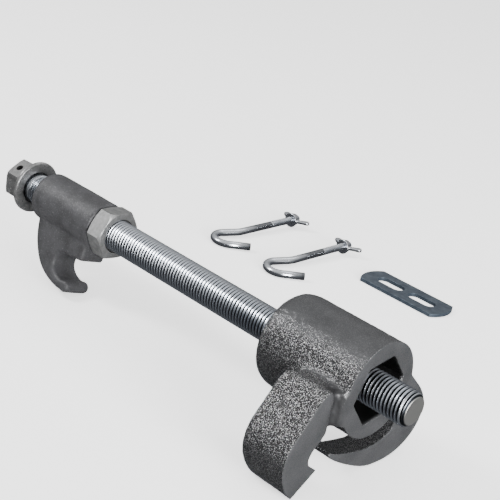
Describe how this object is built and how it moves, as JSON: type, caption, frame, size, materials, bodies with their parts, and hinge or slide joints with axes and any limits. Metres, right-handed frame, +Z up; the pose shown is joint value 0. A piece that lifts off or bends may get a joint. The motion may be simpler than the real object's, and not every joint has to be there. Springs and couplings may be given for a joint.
{
  "type": "coil spring compressor",
  "caption": "Screw-driven coil spring compressor: hooked sleeve, lower jaw with a leg and a curled arm, hex drive head, and loose J-hooks and plate for safety.",
  "frame": {"origin": "centre of the footprint of the tool and its loose parts, on the floor", "axes": "+X along the screw from the drive head to its free end, +Z up"},
  "size_m": [0.3644, 0.343, 0.0846],
  "materials": {
    "casting": "rough dark grey metallic paint over cast steel",
    "zinc_screw": "bright zinc plate",
    "zinc_fittings": "satin zinc plate",
    "pin_steel": "black spring steel",
    "plate_steel": "blue-grey oxide",
    "bright_rod": "bright zinc plate"
  },
  "bodies": {
    "lower_jaw": {"lower_jaw": "casting", "drive_nut": "zinc_fittings"},
    "thrust_washer": {"thrust_washer": "zinc_fittings"},
    "forcing_screw": {"forcing_screw": "zinc_screw", "hex_drive_head": "zinc_fittings", "roll_pin": "pin_steel", "retaining_nut": "zinc_fittings"},
    "upper_hook": {"upper_hook": "casting"},
    "safety_plate": {"safety_plate": "plate_steel"},
    "j_hook_1": {"j_hook_1": "bright_rod"},
    "j_hook_2": {"j_hook_2": "bright_rod"},
    "wing_nut_1": {"wing_nut_1": "bright_rod"},
    "wing_nut_2": {"wing_nut_2": "bright_rod"}
  },
  "joints": [
    {"name": "screw_travel", "type": "slide", "parent": "lower_jaw", "child": "thrust_washer", "axis": [1, 0, 0], "range_m": [-0.0501, 0.1451]},
    {"name": "screw_spin", "type": "hinge", "parent": "thrust_washer", "child": "forcing_screw", "pos_m": [-0.07175, -0.09793, 0.0536], "axis": [1, 0, 0], "range_deg": [-7220, 20900]},
    {"name": "hook_swivel", "type": "hinge", "parent": "thrust_washer", "child": "upper_hook", "pos_m": [-0.07175, -0.09793, 0.0536], "axis": [1, 0, 0], "range_deg": [-180, 180]},
    {"name": "safety_plate_lift", "type": "slide", "parent": "lower_jaw", "child": "safety_plate", "axis": [0, 0, 1], "range_m": [0, 0.1]},
    {"name": "j_hook_1_lift", "type": "slide", "parent": "lower_jaw", "child": "j_hook_1", "axis": [0, 0, 1], "range_m": [0, 0.1]},
    {"name": "j_hook_2_lift", "type": "slide", "parent": "lower_jaw", "child": "j_hook_2", "axis": [0, 0, 1], "range_m": [0, 0.1]},
    {"name": "wing_nut_1_spin", "type": "hinge", "parent": "j_hook_1", "child": "wing_nut_1", "pos_m": [-0.13175, 0.16, 0.0066], "axis": [0, 0.9993, 0.0369], "continuous": true},
    {"name": "wing_nut_2_spin", "type": "hinge", "parent": "j_hook_2", "child": "wing_nut_2", "pos_m": [-0.07175, 0.16, 0.0066], "axis": [0, 0.9993, 0.0369], "continuous": true}
  ],
  "couplings": [
    {"joint": "screw_spin", "follows": "screw_travel", "rad_per_m": 2513.3}
  ]
}
